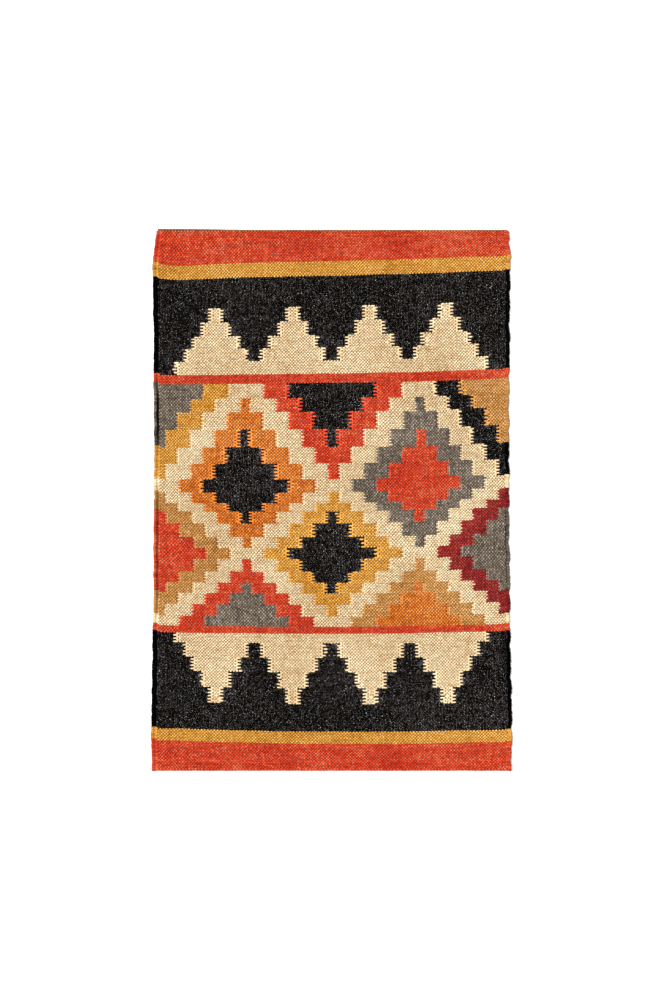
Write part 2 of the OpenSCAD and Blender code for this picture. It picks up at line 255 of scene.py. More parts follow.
def settle(points):
    """Moves points of the even rug to where the hand-made rug's yarn really lies."""
    shape = bpy.context.scene.rug_shape
    x, y, z = points.T
    u, v = x / HALF_W, y / HALF_L
    held = smooth((1 - abs(v)) / 0.1)
    row_shift = (
        shape.slip + shape.slip_growth * v
        + (shape.lean + shape.lean_growth * v) * u
        + (shape.bow + shape.bow_growth * v) * u * u
    )
    row_shift += ROW_DRIFT * waves(x, 3, 0.31) + ROW_TREMOR * waves(x + 2.1 * y, 4, 0.17)
    for at, reach, rise in SWELLS:
        row_shift += rise * MM * np.exp(-((y / MM - at) / reach) ** 2)
    at_edge = smooth((abs(x) - (HALF_W - 12 * MM)) / (4 * MM))
    row_shift += at_edge * np.where(x < 0, shape.left_edge_lift, shape.right_edge_lift)
    side = shape.waist + shape.flare * v * v - shape.bottom_spread * v
    side += shape.edge_wave * np.where(x < 0, waves(y, 5, 0.23), waves(y, 6, 0.19))
    side += at_edge * shape.edge_bumps * np.where(x < 0, 0.5 * waves(y, 10, 0.04),
                                                  waves(y, 11, 0.045))
    corner = np.clip(1 - (HALF_L - abs(y)) / shape.corner_reach, 0, 1)
    top_share = np.where(x < 0, CORNER_SHARE["top_left"], CORNER_SHARE["top_right"])
    side -= shape.corner_pull * corner * np.where(y > 0, top_share, CORNER_SHARE["bottom"])
    swing = np.zeros_like(x)
    for at_x, at_y, push_x, push_y in SWINGS:
        near = MM * smooth((1 - abs(u)) / 0.15) * np.exp(
            -((x / MM - at_x) / SWING_REACH[0]) ** 2 - ((y / MM - at_y) / SWING_REACH[1]) ** 2)
        swing += push_x * near
        row_shift += push_y * near
    lift = smooth((abs(u) - 0.88) / 0.1) * (0.5 + 0.5 * waves(y, 7, 0.12)) * shape.ripple
    lift += CLOTH_LIFT * (1 + waves(x + 0.7 * y, 8, 0.36))
    return np.stack([
        x + swing + np.sign(x) * u * u * side + WARP_DRIFT * waves(y + 0.4 * x, 9, 0.11),
        y + held * row_shift,
        z + np.clip(lift, 0, None),
    ], axis=1)


def cloth_height(y):
    """Height of the cloth's middle along the rug: flat, then up onto the heading."""
    sizes = bpy.context.scene.rug_sizes
    hem = BOX["hem_top"]
    hem_in = hem[0].y
    top_of_hem = BOX["end_band_top"][1].z
    cad_cloth = BOX["cream_lattice"][1].z
    on_hem = top_of_hem - cad_cloth / 2
    ramp = 12 * MM
    rise = smooth((abs(y) - (hem_in - ramp)) / ramp)
    # The last rows at the bottom end turn down over the fold
    turn_down = smooth((abs(y) - (HALF_L - 3.0 * MM)) / (4 * MM)) * 2.2 * MM
    return sizes.cloth_middle + rise * (on_hem - sizes.cloth_middle) - np.where(y < 0, turn_down, 0)


# Yarn ends left sticking out at the sides: side, place along the rug and length, in mm
TUFTS = [(-1, 441, 7), (-1, 399, 9), (-1, 396, 6), (1, 402, 5), (1, -228, 9), (1, -434, 7)]
TUFT_FIBRES = 6
TUFT_FIBRE_D = 0.45 * MM

# ---- Yarn ----

class Strands:
    """Rings of yarn gathered strand by strand, and made into one mesh of closed tubes."""

    def __init__(self):
        self.parts = []

    def add(self, centre, across, width, depth, run, tone, lane):
        """One strand. across is the direction of its width, run the length along it, tone its
        look (row shade, painted light from the yarn's height, unevenness) and lane its number on the
        unrolled layout."""
        n = len(centre)
        self.parts.append((
            centre, np.broadcast_to(across, (n, 3)), np.broadcast_to(width, n),
            np.broadcast_to(depth, n), run, np.broadcast_to(tone, (n, 3)),
            np.full(n, lane), np.arange(n) < n - 1, np.arange(n) == 0,
        ))

    def mesh(self, name, sides=6):
        """The strands as a mesh in the rug's final place, with its two layouts."""
        columns = [np.concatenate(c) for c in zip(*self.parts)]
        centre, across, width, depth, run, tone, lane, linked, first = columns
        last = ~linked
        ahead = np.roll(centre, -1, axis=0) - centre
        behind = centre - np.roll(centre, 1, axis=0)
        ahead[last] = behind[last]
        behind[first] = ahead[first]
        along = unit(unit(ahead) + unit(behind))
        up = unit(np.cross(along, across))
        turn = 2 * math.pi * np.arange(sides) / sides
        ring = (
            centre[:, None]
            + across[:, None] * (width[:, None, None] / 2 * np.cos(turn)[None, :, None])
            + up[:, None] * (depth[:, None, None] / 2 * np.sin(turn)[None, :, None])
        )
        count = len(centre)
        points = settle(ring.reshape(-1, 3))

        near = np.nonzero(linked)[0]
        side = np.arange(sides)
        after = (side + 1) % sides
        quads = np.stack([
            near[:, None] * sides + side, near[:, None] * sides + after,
            (near[:, None] + 1) * sides + after, (near[:, None] + 1) * sides + side,
        ], axis=2).reshape(-1, 4)
        caps = []
        for ends, way in ((np.nonzero(first)[0], 1), (np.nonzero(last)[0], -1)):
            for k in range(1, sides - 1, 2):
                corners = [0, k + 2, k + 1, k] if k + 2 < sides else [0, 0, k + 1, k]
                caps.append(ends[:, None] * sides + np.array(corners[::way]))
        caps = np.concatenate(caps)
        faces = np.concatenate([quads, caps])

        mesh = bpy.data.meshes.new(name)
        mesh.vertices.add(count * sides)
        mesh.vertices.foreach_set("co", points.astype(np.float32).ravel())
        mesh.loops.add(faces.size)
        mesh.loops.foreach_set("vertex_index", faces.astype(np.int32).ravel())
        mesh.polygons.add(len(faces))
        mesh.polygons.foreach_set("loop_start", np.arange(0, faces.size, 4, dtype=np.int32))
        mesh.update(calc_edges=True)
        mesh.shade_smooth()

        # Layout for baking: run along the yarn by lane, each strand unrolled in its lane
        lanes = lane.max() + 1
        low, span = run.min(), max(np.ptp(run), 1e-6)
        u = 0.002 + 0.996 * (run - low) / span
        lane_v = np.stack([side, side + 1, side + 1, side], axis=1) / sides
        quad_u = np.stack([u[near], u[near], u[near + 1], u[near + 1]], axis=1)
        quad_u = np.repeat(quad_u[:, None], sides, axis=1)
        quad_v = (lane[near][:, None, None] + 0.04 + 0.92 * lane_v[None]) / lanes
        cap_u = u[caps // sides]
        cap_v = (lane[caps // sides] + 0.02) / lanes
        bake = mesh.uv_layers.new(name="OFBake")
        bake.data.foreach_set("uv", np.concatenate([
            np.stack([quad_u, quad_v], axis=-1).reshape(-1, 2),
            np.stack([cap_u, cap_v], axis=-1).reshape(-1, 2),
        ]).astype(np.float32).ravel())
        # Layout for the plies: the run in metres, and turns round the yarn
        yarn = mesh.uv_layers.new(name="Yarn")
        run_u = np.repeat(np.stack(
            [run[near], run[near], run[near + 1], run[near + 1]], axis=1)[:, None], sides, axis=1)
        turn_v = np.broadcast_to(lane_v[None], run_u.shape)
        yarn.data.foreach_set("uv", np.concatenate([
            np.stack([run_u, turn_v], axis=-1).reshape(-1, 2),
            np.stack([run[caps // sides], np.zeros(caps.shape)], axis=-1).reshape(-1, 2),
        ]).astype(np.float32).ravel())
        mesh.uv_layers.active = bake
        bake.active_render = True

        # Where the fibre patterns are read: along, across and up the yarn, with each lane moved
        # on so that no two strands carry the same pattern
        place = np.stack([
            np.repeat(run + 0.37 * lane, sides),
            (width[:, None] / 2 * np.cos(turn) + 0.011 * lane[:, None]).ravel(),
            (depth[:, None] / 2 * np.sin(turn)).ravel(),
        ], axis=1)
        for key, values in (("yarn_place", place), ("yarn_tone", np.repeat(tone, sides, axis=0))):
            layer = mesh.attributes.new(key, "FLOAT_VECTOR", "POINT")
            layer.data.foreach_set("vector", values.astype(np.float32).ravel())
        return mesh


def unit(v):
    """Vectors at length 1."""
    return v / np.maximum(np.linalg.norm(v, axis=-1, keepdims=True), 1e-12)


class Chart:
    """The weaver's chart: which colour area each crossing of warp and weft belongs to."""

    def __init__(self, sizes):
        span = 2 * (HALF_W - sizes.selvedge_w)
        self.warps = round(span / sizes.warp_pitch)
        self.pitch = span / self.warps
        self.warp_x = -span / 2 + (np.arange(self.warps) + 0.5) * self.pitch
        self.half_x = -span / 2 + np.arange(2 * self.warps + 1) / 2 * self.pitch
        rows, pitches = [], []
        for band in BANDS:
            low, high = BOX[band]
            count = round((high.y - low.y) / sizes.weft_pitch)
            if band == "cream_lattice":
                count = sizes.field_rows
            pitch = (high.y - low.y) / count
            rows += [low.y + (k + 0.5) * pitch for k in range(count)]
            pitches += [pitch] * count
        # One more row turns down over the fold at the bottom end
        rows.insert(0, rows[0] - pitches[0])
        pitches.insert(0, pitches[0])
        self.row_y = np.array(rows)
        self.row_pitch = np.array(pitches)
        self.area = self.read()
        self.segments = self.split()
        draw = np.random.default_rng(SEED)
        n, k = len(rows), 2 * self.warps + 1
        self.shade = draw.random(n)
        self.place_noise = draw.normal(size=(n, k))
        self.beat_noise = draw.normal(size=(n, k))
        self.rise_noise = draw.normal(size=(n, k))
        self.width_noise = draw.normal(size=(n, k))
        # Float by float unevenness, a part of it carried on along each rib for some six rows
        single, ribbed = draw.normal(size=(2, n, self.warps + 1))
        window = np.hanning(8) / math.sqrt((np.hanning(8) ** 2).sum())
        ribbed = np.apply_along_axis(np.convolve, 0, ribbed, window, mode="same")
        tone = np.clip(0.5 + 0.22 * single + 0.15 * ribbed, 0, 1)
        self.tone_noise = np.repeat(tone, 2, axis=1)[:, :k]

    def read(self):
        """Looks straight down on the frame's areas at each crossing."""
        points, faces, owner = [], [], []
        names = sorted(WOOL_OF)
        for k, name in enumerate(names):
            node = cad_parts[name]
            base = len(points)
            points += [node.matrix_world @ p.co for p in node.data.vertices]
            for face in node.data.polygons:
                faces.append([base + i for i in face.vertices])
                owner.append(k)
        tree = BVHTree.FromPolygons(points, faces)
        down = Vector((0, 0, -1))
        above = CAD_HI.z + 10 * MM
        area = np.full((len(self.row_y), self.warps), -1)
        for j, y in enumerate(self.row_y):
            for i, x in enumerate(self.warp_x):
                hit = tree.ray_cast(Vector((x, y, above)), down)[2]
                area[j, i] = area[j - 1, i] if hit is None else owner[hit]
        area[0] = area[1]
        if area.min() < 0:
            raise RuntimeError("a crossing of warp and weft lies in no colour area")
        self.names = names
        return area

    def split(self):
        """Cuts each row where the colour changes, with the yarns dovetailed row by row."""
        segments = []
        draw = np.random.default_rng(SEED + 1)
        for j, row in enumerate(self.area):
            cuts = [0] + [int(b) for b in np.nonzero(np.diff(row))[0] + 1] + [self.warps]
            moved = cuts[:]
            teeth = [0] * len(cuts)
            for c in range(1, len(cuts) - 1):
                # Both yarns turn on the same warps in alternate rows: on a pair of them beside
                # black, where a slip would show, and on a single one elsewhere
                beside = [WOOL_OF[self.names[row[cuts[c] + k]]] for k in (-1, 0)]
                teeth[c] = 2 if "black_wool" in beside else 1
                odd_row = (cuts[c] + j) % 2
                step = (1 - 2 * odd_row) if teeth[c] == 2 else 1 - odd_row
                room = min(cuts[c] - cuts[c - 1], cuts[c + 1] - cuts[c])
                # Now and then a tooth comes out longer or is left out
                luck = draw.random()
                if room >= 7 and luck > 0.95:
                    moved[c] = cuts[c] + 2 * step
                elif room >= 3 and luck > 0.05:
                    moved[c] = cuts[c] + step
            for c in range(len(cuts) - 1):
                segments.append((self.names[row[cuts[c]]], j, moved[c], moved[c + 1] - 1,
                                 teeth[c:c + 2]))
        return segments


_charts = []


def chart():
    """The chart, read once."""
    if not _charts:
        _charts.append(Chart(bpy.context.scene.rug_sizes))
    return _charts[0]


# The rings of a tooth, from its end inwards: height in crimps, width in rows, and how much of its colour
# the painted hollow shade leaves
TOOTH = [(0.1, 0.6, 0.45), (0.85, 0.95, 0.7), (0.95, 1.0, 0.75), (0.9, 1.0, 0.75), (0.75, 0.95, 0.7)]


def weft_path(c, sizes, j, first, last, teeth):
    """One length of weft in row j from warp first to warp last, which turns on so many warps at
    each end: x, height, width and depth of its rings, its run and its tone."""
    pitch = c.row_pitch[j]
    k = np.arange(2 * first, 2 * last + 3)
    odd = k % 2 == 1
    over = np.where((k // 2 + j) % 2 == 0, 1.0, -1.0)
    x = c.half_x[k] + FLOAT_SLIP * c.place_noise[j, k]
    h = np.where(odd, over * sizes.crimp, 0) + FLOAT_RISE * c.rise_noise[j, k]
    wide = np.where(odd, sizes.float_width, sizes.crossing_width) * pitch
    wide = wide * (1 + 0.10 * np.clip(c.width_noise[j, k], -2, 2))
    deep = np.where(odd, 1.0, 0.66) * sizes.weft_depth
    # Painted light: the floats keep their colour, the crossings between the warps are painted in the
    # hollows' shade
    painted_light = np.where(odd, 1.0, 0.0)
    for end, way, warps in ((0, 1, teeth[0]), (-1, -1, teeth[1])):
        if not warps:
            continue
        # The yarn turns back round its last warps and shows on top of them, as a tooth
        x[end] -= way * 0.15 * warps * sizes.warp_pitch
        shown = len(TOOTH) if warps > 1 and last - first > 3 else 2
        for step, (rise, width, painted_light_share) in enumerate(TOOTH[:shown]):
            h[end + way * step] = rise * sizes.crimp
            wide[end + way * step] = width * pitch
            deep[end + way * step] = 0.85 * sizes.weft_depth
            painted_light[end + way * step] = painted_light_share
    run = x.copy()
    rings = (x, h, wide, deep, painted_light, c.tone_noise[j, k], run)
    if first == 0:
        rings = wrap(-1, sizes, pitch, c.row_y[j], rings)
    if last == c.warps - 1:
        rings = wrap(1, sizes, pitch, c.row_y[j], rings)
    x, h, wide, deep, painted_light, uneven, run = rings
    tone = np.stack([np.full(len(x), c.shade[j]), painted_light, uneven], axis=1)
    return x, h, wide, deep, run, tone


def wrap(side, sizes, pitch, y, rings):
    """Takes the weft round the edge cord at one side: through the groove, over the cord, round
    the outside and back under it."""
    shape = bpy.context.scene.rug_shape
    strip = sizes.edge_strip
    groove = shape.left_groove if side < 0 else shape.right_groove
    gape = 0.0
    if side < 0:
        gape = math.exp(-((y - shape.gape_at) / shape.gape_reach) ** 4)
    # The slit at the right is the shorter one
    reach = shape.slit_reach * (1 if side < 0 else 0.7)
    gape += shape.slit_gape * math.exp(-((y - shape.slit_at) / reach) ** 6)
    deep_in = 0.1 + 1.15 * gape
    # The weave proper starts at the first warp that stands clear of the groove
    skip = 1 + 2 * outer_warps(side)
    keep = slice(skip, None) if side < 0 else slice(None, -skip)
    x, h, wide, deep, painted_light, uneven, run = (a[keep] for a in rings)
    cord = sizes.edge_cord_d / 2 + 0.45 * MM
    # Distance in from the edge, height, width in rows, depth and painted light of each ring: below zero it
    # paints the groove's shade, on the strip over the cord and deeper as the groove gapes
    way = np.array([
        (1.00 * strip, -0.5 * cord, 0.7, 0.8, 0.4), (0.82 * strip, -0.85 * cord, 1.0, 0.8, 0.5),
        (0.5 * strip, -1.0 * cord, 1.05, 0.8, 0.5), (0.2 * strip, -0.75 * cord, 1.05, 0.8, 0.5),
        (0.05 * strip, 0.0, 1.05, 0.8, -0.35), (0.2 * strip, 0.78 * cord, 1.08, 0.85, -0.2),
        (0.5 * strip, 1.02 * cord, 1.1, 0.85, -0.02), (0.8 * strip, 0.8 * cord, 1.05, 0.8, -0.12),
        (0.98 * strip, -0.1 * cord * deep_in, 1.0, 0.6, 0.1 - 1.1 * gape),
        (strip + 0.5 * groove, -0.75 * cord * deep_in, 1.12, 0.5, 0.1 - 1.1 * gape),
        (strip + (0.6 + 0.3 * gape) * groove, -0.6 * cord * deep_in, 1.12, 0.5, 0.1 - 1.1 * gape),
    ])
    wx, wh = side * (HALF_W - way[:, 0]), way[:, 1]
    ww, wd = way[:, 2] * pitch, way[:, 3] * sizes.weft_depth
    steps = np.hypot(np.diff(wx), np.diff(wh))
    back = np.concatenate([[0], np.cumsum(steps)])
    edge = x[0] if side < 0 else x[-1]
    wrun = edge + side * (back[-1] - back + abs(edge - wx[-1]))
    added = (wx, wh, ww, wd, way[:, 4], np.full(len(wx), uneven[0]), wrun)
    kept = (x, h, wide, deep, painted_light, uneven, run)
    if side < 0:
        return [np.concatenate([a, b]) for a, b in zip(added, kept)]
    return [np.concatenate([b, a[::-1]]) for a, b in zip(added, kept)]


def outer_warps(side):
    """How many warps lie with the edge cord at one side."""
    return 1 if side < 0 else 0


def material_of(slot):
    """The finish of one yarn, made the first time it is asked for."""
    name = YARNS[slot][0]
    found = bpy.data.materials.get(name)
    return found if found else yarn_material(slot)


def add(tree, kind, links=None, **settings):
    """Adds a node with its settings, and links or sets its inputs."""
    node = tree.nodes.new(kind)
    for key, value in settings.items():
        setattr(node, key, value)
    for socket, source in (links or {}).items():
        if isinstance(source, bpy.types.NodeSocket):
            tree.links.new(source, node.inputs[socket])
        else:
            node.inputs[socket].default_value = source
    return node


def yarn_material(slot):
    """Hand-spun yarn: matt wool or jute, its colour broken by darker and lighter fibres, by flecks and by
    the shade of each dye lot, with painted shade in the hollows between its floats and in the grooves; its
    loose fibres keep it from shining."""
    name, _, dark, light, fleck, flecked, painted_hollow_level, uneven = YARNS[slot]
    base = tuple(getattr(bpy.context.scene.rug_colours, slot))
    material = bpy.data.materials.new(name)
    material.use_nodes = True
    tree = material.node_tree
    tree.nodes.clear()
    place = add(tree, "ShaderNodeAttribute", attribute_name="yarn_place").outputs["Vector"]
    tone = add(tree, "ShaderNodeAttribute", attribute_name="yarn_tone").outputs["Vector"]
    tone = add(tree, "ShaderNodeSeparateXYZ", {0: tone}).outputs
    # Fibres lie along the yarn: streaks about 9 mm long, drawn 1 mm wide so that they show
    stretched = add(tree, "ShaderNodeMapping", {"Vector": place, "Scale": (110, 1000, 1000)})
    fibres = add(tree, "ShaderNodeTexNoise", {
        "Vector": stretched.outputs[0], "Scale": 1.0, "Detail": 2.0, "Roughness": 0.6})
    # The spinner's hand: lengths of 30 to 60 mm spun from lighter or darker wool
    spun = add(tree, "ShaderNodeMapping", {"Vector": place, "Scale": (26, 30, 30)})
    lots = add(tree, "ShaderNodeTexNoise", {
        "Vector": spun.outputs[0], "Scale": 1.0, "Detail": 1.0, "Roughness": 0.5})
    # Slow change of the dye across the cloth, over about 150 mm
    where = add(tree, "ShaderNodeNewGeometry").outputs["Position"]
    dye = add(tree, "ShaderNodeTexNoise", {"Vector": where, "Scale": 7.0, "Detail": 1.0})
    # How much each of them, the row's own shade and the float's own count towards the colour
    total = -0.45
    for source, weight in ((fibres.outputs[0], 0.9), (lots.outputs[0], 0.7),
                           (dye.outputs[0], 0.7), (tone[0], 0.08), (tone[2], uneven)):
        total = add(tree, "ShaderNodeMath", {0: source, 1: weight, 2: total},
                    operation="MULTIPLY_ADD").outputs[0]
    shade = add(tree, "ShaderNodeMath", {0: total, 1: 0.24 + 0.5 * uneven}, operation="SUBTRACT")
    ramp = add(tree, "ShaderNodeValToRGB", {0: shade.outputs[0]})
    stops = ramp.color_ramp.elements
    stops[0].position, stops[0].color = 0.08, (*linear(dark), 1)
    stops[1].position, stops[1].color = 0.92, (*linear(light), 1)
    stops.new(0.5).color = (*base, 1)
    # Flecks: single coarse fibres of another wool, 2 to 4 mm long
    scattered = add(tree, "ShaderNodeMapping", {"Vector": place, "Scale": (330, 900, 900)})
    specks = add(tree, "ShaderNodeTexNoise", {
        "Vector": scattered.outputs[0], "Scale": 1.0, "Detail": 0.0})
    chosen = add(tree, "ShaderNodeMapRange", {
        0: specks.outputs[0], 1: 0.86 - flecked, 2: 0.90 - flecked * 0.7, 3: 0.0, 4: 0.8})
    flecks = add(tree, "ShaderNodeMix", {
        0: chosen.outputs[0], 6: ramp.outputs[0], 7: (*linear(fleck), 1)}, data_type="RGBA")
    # Painted shade: the hollows between the floats, where the neighbouring yarns shade them, are painted
    # darker, down to the share of colour set for each yarn
    painted_hollow_shade = add(tree, "ShaderNodeMapRange", {0: tone[1], 1: 0.1, 2: 0.9, 3: painted_hollow_level, 4: 1.0})
    # Deep in a groove between strip and cloth hardly any light is left
    groove = add(tree, "ShaderNodeMapRange", {0: tone[1], 1: -1.0, 2: 0.0, 3: 0.03, 4: 1.0})
    lit = add(tree, "ShaderNodeMath", {0: painted_hollow_shade.outputs[0], 1: groove.outputs[0]},
              operation="MULTIPLY", use_clamp=True)
    shaded = add(tree, "ShaderNodeMix", {
        0: 1.0, 6: flecks.outputs[2], 7: lit.outputs[0]}, data_type="RGBA",
        blend_type="MULTIPLY")
    # Two plies turn round each other once in 5 mm
    layout = add(tree, "ShaderNodeUVMap", uv_map="Yarn").outputs[0]
    helix = add(tree, "ShaderNodeVectorMath", {
        0: layout, 1: (2 * math.pi / (5 * MM), 4 * math.pi, 0)}, operation="DOT_PRODUCT")
    plies = add(tree, "ShaderNodeMath", {0: helix.outputs["Value"]}, operation="SINE")
    relief = add(tree, "ShaderNodeMath", {
        0: plies.outputs[0], 1: 0.35, 2: fibres.outputs[0]}, operation="MULTIPLY_ADD")
    bump = add(tree, "ShaderNodeBump", {
        "Height": relief.outputs[0], "Strength": 0.6, "Distance": 0.15 * MM})
    shader = add(tree, "ShaderNodeBsdfPrincipled", {
        "Base Color": shaded.outputs[2], "Normal": bump.outputs[0], "Roughness": 0.92,
        "IOR": 1.54, "Specular IOR Level": 0.03})
    add(tree, "ShaderNodeOutputMaterial", {"Surface": shader.outputs[0]})
    return material


def place_piece(mesh, name, slot, nodes):
    """Makes the object of a finished mesh, gives it the material of its yarn, hangs it on the body and
    hides the frame's parts that it stands for.
    """
    piece = bpy.data.objects.new(name, mesh)
    bpy.context.scene.collection.objects.link(piece)
    mesh.materials.append(material_of(slot))
    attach(piece, BODY)
    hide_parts(*nodes)
    return piece


def part_of(area, j, c):
    """Which piece of an area a row belongs to: the largest areas were woven in two lots."""
    if area == "cream_lattice":
        low, high = BOX[area]
        return "_upper" if c.row_y[j] > (low.y + high.y) / 2 else "_lower"
    if area.startswith("black_ground"):
        peaks = BOX[area.replace("black_ground", "cream_peaks")]
        level = c.row_y[j]
        return "_valleys" if peaks[0].y < level < peaks[1].y else "_plain"
    return ""


def loose_ends(strands, c, j, lowest, lanes):
    """Lets thin ends of yarn stick out at the sides of row j, where some were left."""
    y, pitch = c.row_y[j], c.row_pitch[j]
    t = np.linspace(0, 1, 7)
    for n, (side, at, long) in enumerate(TUFTS):
        if not y - pitch / 2 <= at * MM < y + pitch / 2:
            continue
        draw = np.random.default_rng(SEED + 60 + n)
        for k in range(TUFT_FIBRES):
            turn = draw.uniform(-0.9, 0.9) + 1.2 * draw.normal() * t
            reach = long * MM * draw.uniform(0.5, 1.0)
            centre = np.stack([
                side * (HALF_W - 2.0 * MM + reach * t * np.cos(turn)),
                y + reach * t * np.sin(turn),
                cloth_height(y) + (1.2 + 0.8 * draw.random()) * MM * (1 - t) - 0.6 * MM,
            ], axis=1)
            lane = lanes - lowest + TUFT_FIBRES * n + k
            thin = TUFT_FIBRE_D * (1.1 - t)
            strands.add(centre, (0.0, 0.0, 1.0), thin, thin, centre[:, 0],
                        (0.5, 0.5, draw.random()), lane)


def weave(areas):
    """Weaves the named colour areas, one piece for each lot of yarn."""
    c = chart()
    sizes = bpy.context.scene.rug_sizes
    lots = {}
    for area, j, first, last, teeth in c.segments:
        if area in areas:
            lots.setdefault((area, part_of(area, j, c)), []).append((j, first, last, teeth))
    for (area, part), lengths in lots.items():
        strands = Strands()
        lowest = min(length[0] for length in lengths)
        flat_area, xs = 0.0, []
        for j, first, last, teeth in lengths:
            x, h, wide, deep, run, tone = weft_path(c, sizes, j, first, last, teeth)
            y = c.row_y[j]
            rise = (cloth_height(y + 0.5 * MM) - cloth_height(y - 0.5 * MM)) / MM
            across = unit(np.array([0.0, 1.0, rise]))
            up = np.cross((1.0, 0.0, 0.0), across)
            centre = np.stack([x, np.full(len(x), y), np.full(len(x), cloth_height(y))], axis=1)
            centre = centre + h[:, None] * up
            centre[:, 1] += FLOAT_SLIP * np.resize(c.beat_noise[j], len(x))
            strands.add(centre, across, wide, deep, run, tone, j - lowest)
            # Laid out flat, a row also holds what goes round the edge cord
            flat_area += np.ptp(run) * c.row_pitch[j]
            xs += [run.min(), run.max()]
            if teeth[0] == 0 or teeth[1] == 0:
                loose_ends(strands, c, j, lowest, len(c.row_y))
        piece = place_piece(strands.mesh(area + part + "_weft"), area + part + "_weft",
                            WOOL_OF[area], [area])


# ---- Operators ----

class RUG_OT_plain_bands(bpy.types.Operator):
    """Weaves the plain end bands and the mustard and red stripes"""

    bl_idname = "rug.plain_bands"
    bl_label = "Plain bands and stripes"

    def execute(self, context):
        weave(["end_band_top", "end_band_bottom", "mustard_stripe_top",
               "mustard_stripe_bottom", "red_stripe_top", "red_stripe_bottom"])
        return {"FINISHED"}


class RUG_OT_peak_bands(bpy.types.Operator):
    """Weaves the black bands and the rows of cream peaks in them"""

    bl_idname = "rug.peak_bands"
    bl_label = "Black bands with peaks"

    def execute(self, context):
        weave(["black_ground_top", "black_ground_bottom",
               "cream_peaks_top", "cream_peaks_bottom"])
        return {"FINISHED"}


class RUG_OT_lattice(bpy.types.Operator):
    """Weaves the cream lattice between the diamonds"""

    bl_idname = "rug.lattice"
    bl_label = "Cream lattice"

    def execute(self, context):
        weave(["cream_lattice"])
        return {"FINISHED"}


class RUG_OT_diamonds(bpy.types.Operator):
    """Weaves the stepped diamonds and their centres"""

    bl_idname = "rug.diamonds"
    bl_label = "Stepped diamonds"

    def execute(self, context):
        weave([area for area in WOOL_OF if "diamond" in area])
        return {"FINISHED"}


class RUG_OT_warp(bpy.types.Operator):
    """Strings the warp threads that the weft hides"""

    bl_idname = "rug.warp"
    bl_label = "Warp threads"

    def execute(self, context):
        c = chart()
        sizes = bpy.context.scene.rug_sizes
        strands = Strands()
        y = np.linspace(-HALF_L + 2.4 * MM, HALF_L - 2.4 * MM, 96)
        z = cloth_height(y)
        for i, x in enumerate(c.warp_x):
            # The outermost warp at the left lies with the edge cord
            if i < outer_warps(-1):
                x = -HALF_W + 0.88 * sizes.edge_strip
            centre = np.stack([np.full(len(y), x), y, z], axis=1)
            # Its shade is scattered from thread to thread, and its colour is painted dark for the shadow of
            # the cloth it lies in
            tone = (0.2 + 0.6 * ((i * 37) % 11) / 10, 0.12, 0.0)
            strands.add(centre, (-1.0, 0.0, 0.0), sizes.warp_d, sizes.warp_d, y, tone, i)
        place_piece(strands.mesh("warp_threads_jute", sides=4), "warp_threads_jute",
                    "jute_yarn", ["warp_threads"])
        return {"FINISHED"}


class RUG_OT_edge_cords(bpy.types.Operator):
    """Lays the twisted cord in each selvedge"""

    bl_idname = "rug.edge_cords"
    bl_label = "Edge cords"

    def execute(self, context):
        sizes = bpy.context.scene.rug_sizes
        for side, node in ((-1, "edge_cord_left"), (1, "edge_cord_right")):
            low, high = BOX[node]
            y = np.linspace(low.y, high.y, 420)
            strands = Strands()
            # Three strands turn round each other once in 14 mm
            for k in range(3):
                turn = 2 * math.pi * (y / (14 * MM) + k / 3)
                out = 0.27 * sizes.edge_cord_d
                centre = np.stack([
                    side * (HALF_W - 0.5 * sizes.edge_strip) + out * np.cos(turn), y,
                    cloth_height(y) + out * np.sin(turn)], axis=1)
                strands.add(centre, (-1.0, 0.0, 0.0), 0.46 * sizes.edge_cord_d,
                            0.46 * sizes.edge_cord_d, y, (0.5, 1.0, 0.0), k)
            place_piece(strands.mesh(node + "_twist"), node + "_twist", "jute_yarn", [node])
        return {"FINISHED"}


